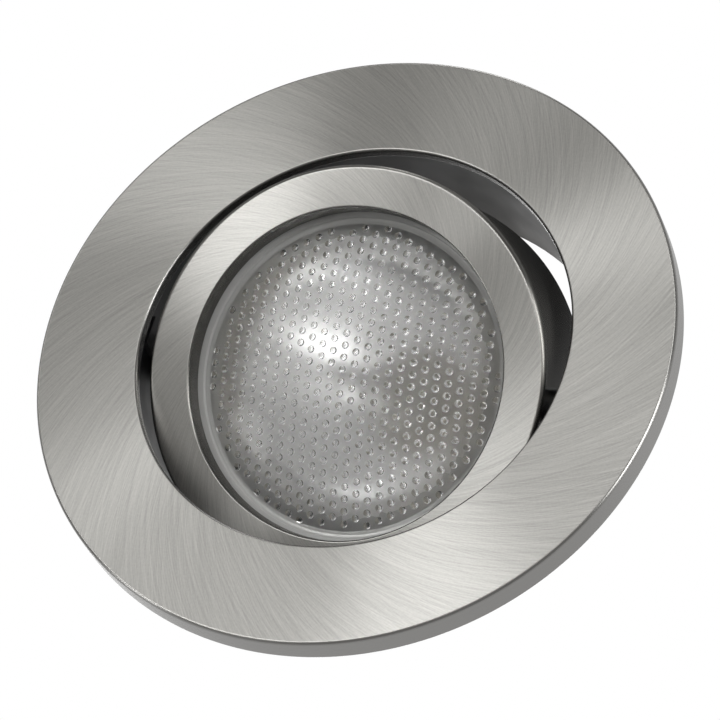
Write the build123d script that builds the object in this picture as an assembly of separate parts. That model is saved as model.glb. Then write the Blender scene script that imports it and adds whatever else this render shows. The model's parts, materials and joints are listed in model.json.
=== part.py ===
from build123d import *
import math
import os

# A tilting recessed ceiling spotlight in millimetres: a trim ring with a collar behind it, a gimbal
# ring that tilts inside the collar, a twin-pin reflector lamp in a twist-on holder, and two sprung
# clips that grip the ceiling board. The origin is the centre of the ceiling plane, where the rim of
# the trim ring meets the board. +Z points up into the ceiling, the lamp faces -Z and tilts about X.

# Fits between pieces
RUNNING = 0.05  # radial, a pin that turns in its hole
SEATED = 0.05  # radial, a piece held still in its hole
SLACK = 0.3  # between pieces that move past each other
SWING_ROOM = 2.0  # round the gimbal's edge, in the trim ring's opening

# Lamp: a 50 mm twin-pin reflector lamp
LAMP_R = 25.0
LENS_RIM = 1.6
LENS_FLAT_W = 3.4  # the flat rim outside the groove
LENS_SPHERE_R = 65.0
LENS_WALL = 1.8
LENS_GROOVE_W = 0.7
LENS_GROOVE_DEPTH = 0.7
BOWL_RIM = 2.5
BOWL_RIM_W = 3.6
BOWL_SHOULDER = 1.8
BOWL_DEPTH = 25.0
BOWL_WALL = 2.0
BOWL_BULGE = 3.4
NECK_R = 9.0
NECK_BORE_R = 7.0
NECK_LENGTH = 6.0
CAPSULE_R = 4.6
CAPSULE_WALL = 0.8
CAPSULE_LENGTH = 15.0
PINCH_W = 9.0
PINCH_T = 3.2
PINCH_SEAT = 3.0
FILAMENT_R = 0.5
FILAMENT_LENGTH = 5.0
FILAMENT_LEG_R = 0.25
BASE_R = 12.0
BASE_FLOOR = 9.0
PIN_SPACING = 10.0
PIN_R = 1.55
PIN_NECK = 3.0
PIN_HEAD_R = 2.5
PIN_HEAD_H = 4.0
PIN_SOCKET = 4.0

# Gimbal ring, with the lamp seated behind its front plate
SEAT_RING_WALL = 2.2
SKIRT_WALL = 1.2
GIMBAL_BROW = 0.7  # how far the front plate stands out past the skirt
GIMBAL_BROW_T = 1.2
GIMBAL_PLATE = 3.0
GIMBAL_DEPTH = 18.9
GIMBAL_EDGE_ROUND = 0.6
APERTURE_STEP = 1.8  # how far the front plate covers the lamp's rim
APERTURE_DRAFT = 0.2
APERTURE_ROUND = 0.3
CIRCLIP_T = 1.0
CIRCLIP_BITE = 0.45
CIRCLIP_HOLD = 1.3  # how far the circlip covers the lamp's rim
CIRCLIP_GAP_W = 9.0
CIRCLIP_EYE_R = 0.8
CIRCLIP_EYE_EDGE = 1.7
TILT = 21.26  # as photographed, from straight down

# Trim ring and collar
PIVOT_DEPTH = 11.9  # from the trim ring's front face
FACE_PROUD = 0.2  # the gimbal's face past the trim ring's, when it points straight down
TRIM_RIM_H = 4.0
TRIM_WEB = 1.6
TRIM_RIM_WALL = 1.4
TRIM_COVER = 6.0  # how far the trim ring covers the ceiling past the cut-out
TRIM_EDGE_ROUND = 0.5
LIP_OVERHANG = 1.9  # the trim ring's inner edge, in from the collar's bore
LIP_ROUND = 0.4
COLLAR_WALL = 0.8
COLLAR_DEPTH = 21.9
EAR_SHEET = 0.8
SCREW_R = 1.25
SCREW_HEAD_R = 2.2
SCREW_HEAD_H = 1.5
SCREW_BITE = 3.2
SCREW_SLOT_W = 0.6
SCREW_SLOT_DEPTH = 0.7
BOSS_R = 2.5
BOSS_H = 3.0
BOSS_GAP = 1.0
CUTOUT_ROOM = 0.1
COLLAR_SCREW_ANGLES = (30.0, 90.0, 210.0, 270.0)

# Tilt pivots, one at each end of the X axis
PIVOT_R = 1.5
PIVOT_HEAD_R = 2.4
PIVOT_HEAD_H = 0.8
PIVOT_SHOULDER_R = 2.8
PIVOT_TAIL = 0.8
BUSH_PLATE = 1.2
BUSH_STRIP_W = 4.2
BUSH_STRIP_EDGE = 1.8  # short of the collar's nearer end
BUSH_DISC_R = 3.6
BUSH_BOSS_R = 2.6
BUSH_LIP_R = 3.1
BUSH_LIP_H = 0.9
WASHER_R = 3.3
WASHER_T = 0.5
RETAINER_R = 3.2
RETAINER_T = 0.5
RETAINER_SLOT_W = 0.7

# Sprung ceiling clips
CLIP_ANGLES = (138.0, 318.0)
CLIP_SCREW_EDGE = 0.3125  # from a screw's hole to the bracket's side
BRACKET_SHEET = 0.8
BRACKET_HALF_W = 6.3
BRACKET_BROW = 0.6  # above the spring's hole
EAR_R = 2.4
AXLE_R = 1.0
AXLE_HEIGHT = 14.0
AXLE_HEAD_R = 1.7
AXLE_HEAD_H = 0.6
KNUCKLE_R = 1.9
KNUCKLE_W = 2.1
ARM_SHEET = 0.8
ARM_NOTCH = 3.6
PAD_WALL = 0.65
PAD_LENGTH = 5.8
PAD_END_WALL = 0.8
PAD_TIP_GAP = 1.0
PAD_RIM_GAP = 0.6
WIRE_R = 0.35
COIL_R = 1.75
COIL_TURNS = 4
COIL_PITCH = 1.2
COIL_GAP = 0.25
SPRING_LEG = 8.0

# Lamp holder, a twist-on ceramic block with a cover
HOLDER_LENGTH = 32.0
HOLDER_WIDTH = 20.0
HOLDER_BODY_H = 12.6
HOLDER_LEDGE = 2.5
HOLDER_COVER_H = 4.5
HOLDER_EDGE = 1.0
TWIST = 30.0  # from locked to the entry holes
CONTACT_T = 0.5
CONTACT_W = 3.6
CONTACT_POST_R = 1.0
INLET_R = 1.3
HOLDER_SCREW_SPACING = 24.0
HOLDER_SCREW_BITE = 7.0

# Radii, worked outwards from the lamp
LENS_DOME_R = LAMP_R - LENS_FLAT_W - LENS_GROOVE_W
BOWL_MOUTH_R = LAMP_R - BOWL_RIM_W
SKIRT_BORE_R = LAMP_R + SEATED + SEAT_RING_WALL + SEATED
SKIRT_R = SKIRT_BORE_R + SKIRT_WALL
GIMBAL_R = SKIRT_R + GIMBAL_BROW
APERTURE_R = LAMP_R - APERTURE_STEP
LIP_R = GIMBAL_R + SWING_ROOM
COLLAR_BORE_R = LIP_R + LIP_OVERHANG
COLLAR_R = COLLAR_BORE_R + COLLAR_WALL
SCREW_CIRCLE_R = COLLAR_R + BOSS_GAP + BOSS_R
CUTOUT_R = SCREW_CIRCLE_R + BOSS_R + CUTOUT_ROOM
TRIM_R = CUTOUT_R + TRIM_COVER

# Heights in the ceiling frame
FRONT_Z = -TRIM_RIM_H
WEB_Z = FRONT_Z + TRIM_WEB
BOSS_Z = WEB_Z + BOSS_H
COLLAR_REAR_Z = FRONT_Z + COLLAR_DEPTH
PIVOT_Z = FRONT_Z + PIVOT_DEPTH
BUSH_STRIP_REACH = min(COLLAR_REAR_Z - PIVOT_Z, PIVOT_Z - WEB_Z) - BUSH_STRIP_EDGE

# Heights in the gimbal's frame, which has its origin on the pivot axis and +Z back along the lamp
FACE_Z = -(PIVOT_DEPTH + FACE_PROUD)
PLATE_Z = FACE_Z + GIMBAL_PLATE
SKIRT_REAR_Z = FACE_Z + GIMBAL_DEPTH
LENS_BACK_Z = PLATE_Z + LENS_RIM
LAMP_RIM_Z = LENS_BACK_Z + BOWL_RIM
NECK_Z = LAMP_RIM_Z + BOWL_DEPTH
NECK_END_Z = NECK_Z + NECK_LENGTH
BASE_END_Z = NECK_END_Z + BASE_FLOOR
PIN_HEAD_Z = BASE_END_Z + PIN_NECK
PIN_END_Z = PIN_HEAD_Z + PIN_HEAD_H
HOLDER_Z = PIN_HEAD_Z - SLACK - HOLDER_LEDGE
HOLDER_BACK_Z = HOLDER_Z + HOLDER_BODY_H
COVER_BACK_Z = HOLDER_BACK_Z + HOLDER_COVER_H

# Places along the pivot axis, outwards from the lamp
PIVOT_SEAT_X = math.sqrt(SKIRT_BORE_R**2 - PIVOT_HEAD_R**2) - SEATED
SHOULDER_X = SKIRT_R + SEATED
BUSH_X = COLLAR_BORE_R - SEATED - BUSH_PLATE
WASHER_X = BUSH_X - SLACK - WASHER_T
BUSH_LIP_X = COLLAR_R + SEATED
BUSH_END_X = BUSH_LIP_X + BUSH_LIP_H
RETAINER_X = BUSH_END_X + SLACK
PIVOT_END_X = RETAINER_X + RETAINER_T + PIVOT_TAIL

# A clip in its own frame: X outwards, Y along its axle, Z up
UPRIGHT_X = COLLAR_R + SEATED
UPRIGHT_FACE_X = UPRIGHT_X + BRACKET_SHEET
AXLE_X = UPRIGHT_FACE_X + COIL_GAP + WIRE_R + COIL_R
EAR_INNER_Y = BRACKET_HALF_W - BRACKET_SHEET
CLIP_SCREW_Y = BRACKET_HALF_W - CLIP_SCREW_EDGE - SCREW_R - SEATED
CLIP_SCREW_STEP = math.degrees(math.asin(CLIP_SCREW_Y / SCREW_CIRCLE_R))
SPRING_HOLE_R = WIRE_R + SLACK
BRACKET_TOP = AXLE_HEIGHT + COIL_R + SPRING_HOLE_R + BRACKET_BROW
ARM_HALF_W = EAR_INNER_Y - SLACK
PAD_HALF_W = ARM_HALF_W + PAD_WALL
ARM_OUT = COIL_R - WIRE_R - SEATED  # the arm's outer face, off the axle's centre
ARM_IN = ARM_OUT - ARM_SHEET
PAD_OUT = ARM_OUT + PAD_WALL
PAD_IN = ARM_IN - PAD_WALL
TIP_X = math.sqrt((TRIM_R - TRIM_RIM_WALL - PAD_RIM_GAP) ** 2 - PAD_HALF_W**2)
TIP_Z = WEB_Z + PAD_TIP_GAP
TIP_REACH = math.hypot(TIP_X - AXLE_X, AXLE_HEIGHT - TIP_Z)
ARM_LEAN = math.degrees(
    math.atan2(TIP_X - AXLE_X, AXLE_HEIGHT - TIP_Z) - math.asin(PAD_OUT / TIP_REACH)
)
PAD_END = math.sqrt(TIP_REACH**2 - PAD_OUT**2)
ARM_LENGTH = PAD_END - PAD_END_WALL


def turned(*points, rounds=()):
    """A solid of revolution about Z from (radius, height) corners, some of them rounded."""
    face = Plane.XZ * make_face(Polyline(*points, close=True))
    for (radius, height), size in rounds:
        corner = face.vertices().sort_by_distance((radius, 0, height))[0]
        face = fillet(corner, size)
    return revolve(face, Axis.Z)


def rod(radius, low, high, bore=0.0):
    """A cylinder about Z between two heights, or a ring if it has a bore."""
    whole = Pos(0, 0, (low + high) / 2) * Cylinder(radius, high - low)
    if bore:
        whole -= Pos(0, 0, (low + high) / 2) * Cylinder(bore, 3 * (high - low))
    return whole


def block(x, y, z):
    """A box between pairs of limits."""
    middle = Pos((x[0] + x[1]) / 2, (y[0] + y[1]) / 2, (z[0] + z[1]) / 2)
    return middle * Box(x[1] - x[0], y[1] - y[0], z[1] - z[0])


def around(angle, radius=0.0):
    """A place on a circle about Z."""
    return Rot(0, 0, angle) * Pos(radius, 0, 0)


def group(solids):
    """Separate solids that share a node."""
    return Compound(children=list(solids))


def screw(radius, head_r, head_h, bite, seat_z):
    """A slotted pan-head screw that points down, with its head's seat at a height."""
    whole = rod(radius, seat_z - bite, seat_z) + rod(head_r, seat_z, seat_z + head_h)
    slot_z = seat_z + head_h - SCREW_SLOT_DEPTH
    return whole - block(
        (-head_r * 2, head_r * 2), (-SCREW_SLOT_W / 2, SCREW_SLOT_W / 2), (slot_z, slot_z + head_h)
    )


def screw_angles():
    """The angles of all the screws in the trim ring's bosses."""
    clip_screws = [a + s * CLIP_SCREW_STEP for a in CLIP_ANGLES for s in (-1, 1)]
    return [*COLLAR_SCREW_ANGLES, *clip_screws]


def trim_ring():
    """The visible flat ring, with a turned-up rim and screw bosses behind it."""
    inner = TRIM_R - TRIM_RIM_WALL
    ring = turned(
        (LIP_R, FRONT_Z),
        (TRIM_R, FRONT_Z),
        (TRIM_R, 0),
        (inner, 0),
        (inner, WEB_Z),
        (LIP_R, WEB_Z),
        rounds=[((TRIM_R, FRONT_Z), TRIM_EDGE_ROUND), ((LIP_R, FRONT_Z), LIP_ROUND)],
    )
    for angle in screw_angles():
        place = around(angle, SCREW_CIRCLE_R)
        ring += place * rod(BOSS_R, WEB_Z, BOSS_Z)
        ring -= place * rod(SCREW_R + SEATED, BOSS_Z - SCREW_BITE, BOSS_Z + SLACK)
    return ring


def collar():
    """The sheet-metal tube behind the trim ring, with screw ears and a hole for each pivot bush."""
    tube = rod(COLLAR_R, WEB_Z, COLLAR_REAR_Z, COLLAR_BORE_R)
    ear_z = (BOSS_Z, BOSS_Z + EAR_SHEET)
    for angle in COLLAR_SCREW_ANGLES:
        ear = block((COLLAR_BORE_R + COLLAR_WALL / 2, SCREW_CIRCLE_R), (-BOSS_R, BOSS_R), ear_z)
        ear += Pos(SCREW_CIRCLE_R, 0, 0) * rod(BOSS_R, *ear_z)
        ear -= Pos(SCREW_CIRCLE_R, 0, 0) * rod(SCREW_R + SEATED, *ear_z)
        tube += Rot(0, 0, angle) * ear
    hole = Pos(0, 0, PIVOT_Z) * Rot(0, 90, 0) * Cylinder(BUSH_BOSS_R + SEATED, 3 * COLLAR_R)
    return tube - hole


def trim_screws():
    """The screws that hold the collar and the clip brackets to the trim ring."""
    seat = BOSS_Z + EAR_SHEET
    one = screw(SCREW_R, SCREW_HEAD_R, SCREW_HEAD_H, SCREW_BITE + EAR_SHEET - SLACK, seat)
    return group(around(a, SCREW_CIRCLE_R) * Rot(0, 0, 45) * one for a in screw_angles())


def at_pivot(side, piece):
    """Places a piece that is turned about Z on the pivot axis, with its +Z outwards."""
    return Pos(0, 0, PIVOT_Z) * Rot(0, 0, 0 if side > 0 else 180) * Rot(0, 90, 0) * piece


def pivot_bush(side):
    """A black nylon bush: a strip and disc on the collar's wall, and a boss snapped through it."""
    plate = rod(BUSH_DISC_R, BUSH_X, COLLAR_R)
    reach, half = BUSH_STRIP_REACH, BUSH_STRIP_W / 2
    plate += block((-reach, reach), (-half, half), (BUSH_X, COLLAR_R))
    wall = Rot(0, -90, 0) * Cylinder(COLLAR_BORE_R - SEATED, 4 * COLLAR_DEPTH)
    bush = plate & wall
    bush += rod(BUSH_BOSS_R, BUSH_X, BUSH_END_X) + rod(BUSH_LIP_R, BUSH_LIP_X, BUSH_END_X)
    return at_pivot(side, bush - rod(PIVOT_R + RUNNING, 0, 2 * BUSH_END_X))


def tilted(piece):
    """Places a piece of the gimbal's frame as it is photographed."""
    return Pos(0, 0, PIVOT_Z) * Rot(TILT, 0, 0) * piece


def gimbal_ring():
    """The tilting ring: a front plate round the lamp and a skirt with a circlip groove behind it."""
    bore_back = APERTURE_R - APERTURE_DRAFT
    ring = turned(
        (APERTURE_R, FACE_Z),
        (GIMBAL_R, FACE_Z),
        (GIMBAL_R, FACE_Z + GIMBAL_BROW_T),
        (SKIRT_R, FACE_Z + GIMBAL_BROW_T),
        (SKIRT_R, SKIRT_REAR_Z),
        (SKIRT_BORE_R, SKIRT_REAR_Z),
        (SKIRT_BORE_R, PLATE_Z),
        (bore_back, PLATE_Z),
        rounds=[((GIMBAL_R, FACE_Z), GIMBAL_EDGE_ROUND), ((APERTURE_R, FACE_Z), APERTURE_ROUND)],
    )
    ring -= rod(SKIRT_BORE_R + CIRCLIP_BITE, LAMP_RIM_Z, LAMP_RIM_Z + CIRCLIP_T)
    return ring - Rot(0, 90, 0) * Cylinder(PIVOT_R + SEATED, 3 * SKIRT_R)


def pivot_pin(side):
    """A shouldered pin riveted through the skirt, which turns in the collar's bush."""
    pin = rod(PIVOT_R, PIVOT_SEAT_X, PIVOT_END_X)
    pin += rod(PIVOT_HEAD_R, PIVOT_SEAT_X - PIVOT_HEAD_H, PIVOT_SEAT_X)
    pin += rod(PIVOT_SHOULDER_R, SHOULDER_X, WASHER_X)
    return at_pivot(side, pin)


def friction_washer(side):
    """A spring washer between the pin's shoulder and the bush, which holds the tilt."""
    return at_pivot(side, rod(WASHER_R, WASHER_X, WASHER_X + WASHER_T, PIVOT_R + SEATED))


def pin_retainer(side):
    """A push-on retainer with gripping slots, outside the bush."""
    ring = rod(RETAINER_R, RETAINER_X, RETAINER_X + RETAINER_T, PIVOT_R + SEATED)
    slot_end = (PIVOT_R + RETAINER_R) / 2
    half = RETAINER_SLOT_W / 2
    for angle in (0, 120, 240):
        ring -= Rot(0, 0, angle) * block((0, slot_end), (-half, half), (RETAINER_X, PIVOT_END_X))
    return at_pivot(side, ring)


def lamp_seat_ring():
    """The spacer that centres the lamp's rim in the skirt."""
    return rod(SKIRT_BORE_R - SEATED, PLATE_Z, LAMP_RIM_Z, LAMP_R + SEATED)


def lamp_circlip():
    """The split ring that holds the lamp from behind, with an eye for pliers at each end."""
    low, high = LAMP_RIM_Z, LAMP_RIM_Z + CIRCLIP_T
    inner = LAMP_R - CIRCLIP_HOLD
    outer = SKIRT_BORE_R + CIRCLIP_BITE - SEATED
    half = CIRCLIP_GAP_W / 2
    ring = rod(outer, low, high, inner)
    ring -= block((-half, half), (0, 2 * outer), (low - SLACK, high + SLACK))
    eye_r = (inner + outer) / 2
    eye_step = math.degrees(math.asin((half + CIRCLIP_EYE_EDGE) / eye_r))
    for side in (-1, 1):
        ring -= around(90 + side * eye_step, eye_r) * rod(CIRCLIP_EYE_R, low, high)
    return ring


def lamp_lens():
    """The domed front glass, with a flat rim and a groove round the dome."""
    step_z = PLATE_Z + LENS_GROOVE_DEPTH
    centre_z = step_z + math.sqrt(LENS_SPHERE_R**2 - LENS_DOME_R**2)
    groove_r = LENS_DOME_R + LENS_GROOVE_W
    inner_sphere = LENS_SPHERE_R - LENS_WALL
    rim = rod(LAMP_R, step_z, LENS_BACK_Z) + rod(LAMP_R, PLATE_Z, step_z, groove_r)
    dome = Pos(0, 0, centre_z) * Sphere(LENS_SPHERE_R) & rod(LENS_DOME_R, 2 * FACE_Z, step_z)
    return rim + dome - Pos(0, 0, centre_z) * Sphere(inner_sphere)


def lamp_reflector():
    """The pressed-glass bowl, with a rim behind the lens and a neck in the base."""
    shoulder_r = LAMP_R - BOWL_SHOULDER
    outer = outline_arc((shoulder_r, LAMP_RIM_Z), (NECK_R, NECK_Z), BOWL_BULGE)
    inner = outline_arc((NECK_BORE_R, NECK_Z - BOWL_WALL), (BOWL_MOUTH_R, LENS_BACK_Z), -BOWL_BULGE)
    edges = [
        Line((BOWL_MOUTH_R, LENS_BACK_Z), (LAMP_R, LENS_BACK_Z)),
        Line((LAMP_R, LENS_BACK_Z), (LAMP_R, LAMP_RIM_Z)),
        Line((LAMP_R, LAMP_RIM_Z), (shoulder_r, LAMP_RIM_Z)),
        outer,
        Line((NECK_R, NECK_Z), (NECK_R, NECK_END_Z)),
        Line((NECK_R, NECK_END_Z), (NECK_BORE_R, NECK_END_Z)),
        Line((NECK_BORE_R, NECK_END_Z), (NECK_BORE_R, NECK_Z - BOWL_WALL)),
        inner,
    ]
    return revolve(Plane.XZ * make_face(edges), Axis.Z)


def outline_arc(start, end, bulge):
    """An arc between two points of an outline, which rises to its left by the bulge."""
    chord = Vector(*end) - Vector(*start)
    side = Vector(-chord.Y, chord.X).normalized() * -bulge
    middle = (Vector(*start) + Vector(*end)) * 0.5 + side
    return ThreePointArc(start, (middle.X, middle.Y), end)


def lamp_capsule():
    """The quartz capsule in the bowl, on a flat pinch that is seated in the base."""
    root_z = NECK_Z - BOWL_WALL
    tip_z = root_z - CAPSULE_LENGTH + CAPSULE_R
    bulb = rod(CAPSULE_R, tip_z, root_z) + Pos(0, 0, tip_z) * Sphere(CAPSULE_R)
    bore = CAPSULE_R - CAPSULE_WALL
    bulb -= rod(bore, tip_z, root_z - CAPSULE_WALL) + Pos(0, 0, tip_z) * Sphere(bore)
    pinch_z = (root_z, NECK_END_Z + PINCH_SEAT - SEATED)
    return bulb + block((-PINCH_W / 2, PINCH_W / 2), (-PINCH_T / 2, PINCH_T / 2), pinch_z)


def lamp_filament():
    """The coiled filament, drawn as its outer envelope on two legs from the pinch."""
    root_z = NECK_Z - BOWL_WALL - CAPSULE_WALL
    middle_z = NECK_Z - BOWL_WALL - CAPSULE_LENGTH / 2
    whole = Pos(0, 0, middle_z) * Rot(0, 90, 0) * Cylinder(FILAMENT_R, FILAMENT_LENGTH)
    for side in (-1, 1):
        leg_x = side * (FILAMENT_LENGTH / 2 - FILAMENT_LEG_R)
        whole += Pos(leg_x, 0, 0) * rod(FILAMENT_LEG_R, middle_z, root_z)
    return whole


def lamp_base():
    """The ceramic base round the neck, with a slot for the pinch and a hole for each pin."""
    base = rod(BASE_R, NECK_Z + SEATED, BASE_END_Z) - rod(NECK_R + SEATED, NECK_Z, NECK_END_Z)
    half_w, half_t = PINCH_W / 2 + SEATED, PINCH_T / 2 + SEATED
    base -= block((-half_w, half_w), (-half_t, half_t), (NECK_Z, NECK_END_Z + PINCH_SEAT))
    for side in (-1, 1):
        place = Pos(side * PIN_SPACING / 2, 0, 0)
        base -= place * rod(PIN_R + SEATED, BASE_END_Z - PIN_SOCKET, BASE_END_Z)
    return base


def lamp_pins():
    """The two contact pins, each with a head that the holder locks behind."""
    root_z = BASE_END_Z - PIN_SOCKET + SEATED
    pin = rod(PIN_R, root_z, PIN_HEAD_Z) + rod(PIN_HEAD_R, PIN_HEAD_Z, PIN_END_Z)
    return group(Pos(side * PIN_SPACING / 2, 0, 0) * pin for side in (-1, 1))


def twist_track(half_width, low, high):
    """The space that a pin sweeps in the holder, from its entry hole to its locked place."""
    mean = PIN_SPACING / 2
    sector = rod(mean + half_width, low, high, mean - half_width)
    wide = 4 * mean
    half = block((-wide, wide), (0, wide), (low, high))
    sector = sector & (Rot(0, 0, 180) * half) & (Rot(0, 0, -TWIST) * half)
    ends = [around(angle, mean) * rod(half_width, low, high) for angle in (0, -TWIST)]
    return sector + ends[0] + ends[1]


def holder_outline(low, high):
    """The holder's rounded block between two heights."""
    return Pos(0, 0, low) * extrude(SlotOverall(HOLDER_LENGTH, HOLDER_WIDTH), high - low)


def holder_body():
    """The ceramic block, with a keyhole track for each pin and screw holes in its back."""
    body = holder_outline(HOLDER_Z, HOLDER_BACK_Z)
    body = chamfer(body.faces().sort_by(Axis.Z)[0].edges(), HOLDER_EDGE)
    ledge_z = HOLDER_Z + HOLDER_LEDGE
    cut = twist_track(PIN_R + SLACK, HOLDER_Z - SLACK, ledge_z)
    cut += around(-TWIST, PIN_SPACING / 2) * rod(PIN_HEAD_R + SLACK, HOLDER_Z - SLACK, ledge_z)
    cut += twist_track(PIN_HEAD_R + SLACK, ledge_z, HOLDER_BACK_Z)
    for turn in (0, 180):
        body -= Rot(0, 0, turn) * cut
    for side in (-1, 1):
        place = Pos(side * HOLDER_SCREW_SPACING / 2, 0, 0)
        body -= place * rod(SCREW_R + SEATED, HOLDER_BACK_Z - HOLDER_SCREW_BITE, HOLDER_BACK_Z)
    return body


def holder_cover():
    """The ceramic back cover, with an inlet for each supply lead."""
    cover = holder_outline(HOLDER_BACK_Z, COVER_BACK_Z)
    cover = chamfer(cover.faces().sort_by(Axis.Z)[-1].edges(), HOLDER_EDGE)
    for side in (-1, 1):
        place = Pos(side * HOLDER_SCREW_SPACING / 2, 0, 0)
        cover -= place * rod(SCREW_R + SEATED, HOLDER_BACK_Z, COVER_BACK_Z)
    for angle in (-TWIST, 180 - TWIST):
        cover -= around(angle, PIN_SPACING / 2) * rod(INLET_R, HOLDER_BACK_Z, COVER_BACK_Z)
    return cover


def holder_contacts():
    """A contact leaf over each pin's head, on a post that stands against the cover."""
    low = PIN_END_Z + SLACK
    leaf = around(0, PIN_SPACING / 2) * rod(CONTACT_W / 2, low, low + CONTACT_T)
    leaf += around(0, PIN_SPACING / 2) * rod(CONTACT_POST_R, low, HOLDER_BACK_Z)
    return group(Rot(0, 0, turn) * leaf for turn in (0, 180))


def holder_screws():
    """The two screws that clamp the cover to the ceramic block."""
    bite = HOLDER_COVER_H + HOLDER_SCREW_BITE - SLACK
    one = screw(SCREW_R, SCREW_HEAD_R, SCREW_HEAD_H, bite, COVER_BACK_Z)
    return group(Pos(side * HOLDER_SCREW_SPACING / 2, 0, 0) * one for side in (-1, 1))


def on_axle(radius, low, high, bore=0.0):
    """A cylinder about a clip's axle between two places along it."""
    return Pos(AXLE_X, 0, AXLE_HEIGHT) * Rot(-90, 0, 0) * rod(radius, low, high, bore)


def along_arm(out, wide, reach):
    """A box in the arm's frame: off the axle's centre, along the axle, and down the arm."""
    box = block(out, wide, (-reach[1], -reach[0]))
    return Pos(AXLE_X, 0, AXLE_HEIGHT) * Rot(0, -ARM_LEAN, 0) * box


def clip_bracket():
    """The folded bracket on two bosses, with an ear at each end of the axle and a spring hole."""
    half, top = BRACKET_HALF_W, BRACKET_TOP
    bracket = block((UPRIGHT_X, TRIM_R), (-half, half), (BOSS_Z, BOSS_Z + EAR_SHEET))
    bracket += block((UPRIGHT_X, UPRIGHT_FACE_X), (-half, half), (BOSS_Z, top))
    for side in (-1, 1):
        ends = sorted((side * EAR_INNER_Y, side * half))
        ear = on_axle(EAR_R, *ends)
        ear += block((UPRIGHT_X, AXLE_X), ends, (AXLE_HEIGHT - EAR_R, AXLE_HEIGHT + EAR_R))
        bracket += ear
    bracket &= rod(CUTOUT_R - CUTOUT_ROOM, BOSS_Z - SLACK, top + SLACK)
    bracket -= on_axle(AXLE_R + SEATED, -half * 2, half * 2)
    for side in (-1, 1):
        hole = rod(SCREW_R + SEATED, BOSS_Z - SLACK, BOSS_Z + EAR_SHEET + SLACK)
        bracket -= around(side * CLIP_SCREW_STEP, SCREW_CIRCLE_R) * hole
    return bracket - spring_hole()


def spring_hole():
    """The hole in the bracket that anchors the spring's upper leg."""
    place = Pos(UPRIGHT_FACE_X, coil_start(), AXLE_HEIGHT + COIL_R)
    return place * Rot(0, 90, 0) * Cylinder(SPRING_HOLE_R, 4 * BRACKET_SHEET)


def clip_axle():
    """The axle through the bracket's ears, with a head at each end."""
    end = BRACKET_HALF_W + SEATED + AXLE_HEAD_H
    axle = on_axle(AXLE_R, -end, end)
    for side in (-1, 1):
        axle += on_axle(AXLE_HEAD_R, *sorted((side * (end - AXLE_HEAD_H), side * end)))
    return axle


def clip_arm():
    """The flat arm, with a knuckle round the axle on each side of the spring."""
    knuckle_in = ARM_HALF_W - KNUCKLE_W
    arm = along_arm((ARM_IN, ARM_OUT), (-ARM_HALF_W, ARM_HALF_W), (0, ARM_LENGTH))
    for side in (-1, 1):
        arm += on_axle(KNUCKLE_R, *sorted((side * knuckle_in, side * ARM_HALF_W)))
    notch = (-2 * KNUCKLE_R, 2 * KNUCKLE_R), (-knuckle_in, knuckle_in), (-2 * KNUCKLE_R, ARM_NOTCH)
    return arm - along_arm(*notch) - on_axle(AXLE_R + RUNNING, -2 * ARM_HALF_W, 2 * ARM_HALF_W)


def clip_pad():
    """The soft sleeve on the arm's tip."""
    wide = (-PAD_HALF_W, PAD_HALF_W)
    pad = along_arm((PAD_IN, PAD_OUT), wide, (PAD_END - PAD_LENGTH, PAD_END))
    pad = fillet(pad.edges().filter_by(Axis.Y), PAD_WALL)
    pocket = (ARM_IN, ARM_OUT), (-ARM_HALF_W, ARM_HALF_W), (0, ARM_LENGTH)
    return pad - along_arm(*pocket)


def coil_sweep():
    """The coil's whole turn in degrees, from the leg in the bracket to the leg on the arm."""
    return 360 * COIL_TURNS + 90 - ARM_LEAN


def coil_start():
    """Where the coil begins along the axle, so that it is centred on the clip."""
    return -COIL_PITCH * coil_sweep() / 720


def coil_point(turn):
    """A point of the coil and its direction, after a turn in degrees from the upper leg."""
    angle = math.radians(90 - turn)
    rise = COIL_PITCH / math.tau
    place = (
        AXLE_X + COIL_R * math.cos(angle),
        coil_start() + COIL_PITCH * turn / 360,
        AXLE_HEIGHT + COIL_R * math.sin(angle),
    )
    way = Vector(COIL_R * math.sin(angle), rise, -COIL_R * math.cos(angle)).normalized()
    return Vector(*place), way


def biarc(start, start_way, end, end_way):
    """Two arcs that join two points and follow both of their directions."""
    chord = end - start
    ways = start_way + end_way
    bend = 2 * (1 - start_way.dot(end_way))
    reach = (math.sqrt(chord.dot(ways) ** 2 + bend * chord.dot(chord)) - chord.dot(ways)) / bend
    middle = (start + end + (start_way - end_way) * reach) * 0.5
    middle_way = (middle - start - start_way * reach).normalized()
    return [TangentArc(start, middle, tangent=start_way), TangentArc(middle, end, tangent=middle_way)]


def clip_spring():
    """The torsion spring round the axle, from its hole in the bracket to its leg on the arm."""
    sweep_deg = coil_sweep()
    quarters = round(sweep_deg / 90)
    knots = [coil_point(sweep_deg * i / quarters) for i in range(quarters + 1)]
    upper_way = Vector(1, 0, 0)
    lower_way = Vector(math.sin(math.radians(ARM_LEAN)), 0, -math.cos(math.radians(ARM_LEAN)))
    knots[0] = (knots[0][0], upper_way)
    knots[-1] = (knots[-1][0], lower_way)
    upper_end = Vector(UPRIGHT_X + SEATED, knots[0][0].Y, knots[0][0].Z)
    edges = [Line(upper_end, knots[0][0])]
    for (start, start_way), (end, end_way) in zip(knots, knots[1:]):
        edges += biarc(start, start_way, end, end_way)
    edges.append(Line(knots[-1][0], knots[-1][0] + lower_way * SPRING_LEG))
    path = Wire([e.edge() for e in edges])
    section = Plane(upper_end, z_dir=upper_way) * Circle(WIRE_R)
    print("spring gap to itself, mm:", round(self_gap(path), 3))
    return sweep(section, path=path)


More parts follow.
